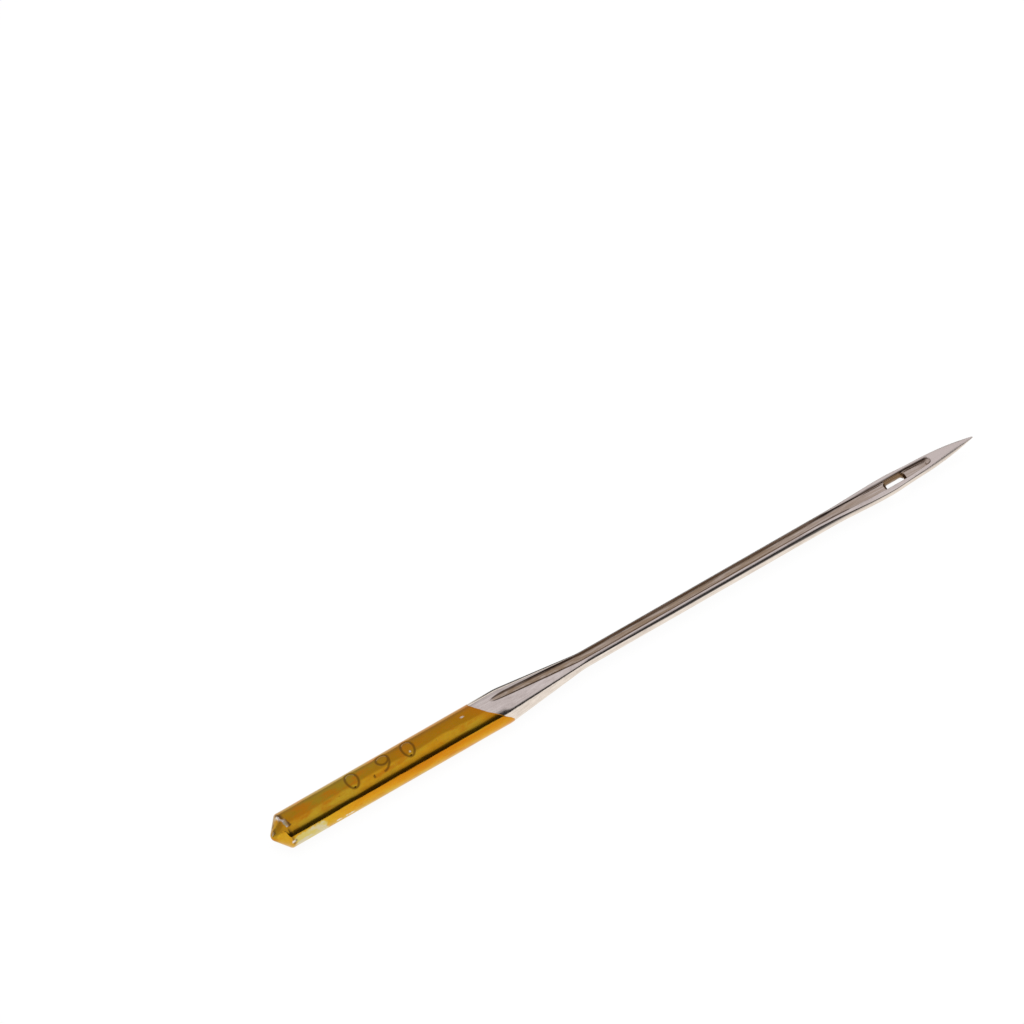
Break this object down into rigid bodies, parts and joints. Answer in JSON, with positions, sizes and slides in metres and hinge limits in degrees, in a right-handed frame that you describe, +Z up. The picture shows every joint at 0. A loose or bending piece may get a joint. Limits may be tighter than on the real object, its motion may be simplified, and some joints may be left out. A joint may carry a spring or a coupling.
{
  "type": "sewing machine needle",
  "caption": "Long machine needle with a thick round shank, a tapered shoulder and a thin blade that has a thread groove, an eye and a sharp point.",
  "frame": {"origin": "on the surface that the needle lies on, below the middle of its length and width", "axes": "+X along the needle from its butt to its point, +Z up, out of the long groove"},
  "size_m": [0.0426, 0.002, 0.002],
  "materials": {
    "plated_steel": "bright plated steel, finely polished along its length",
    "amber_lacquer": "thin glossy see-through amber lacquer, dipped over the shank and butt"
  },
  "bodies": {
    "root": {"needle": "plated_steel"}
  },
  "joints": []
}
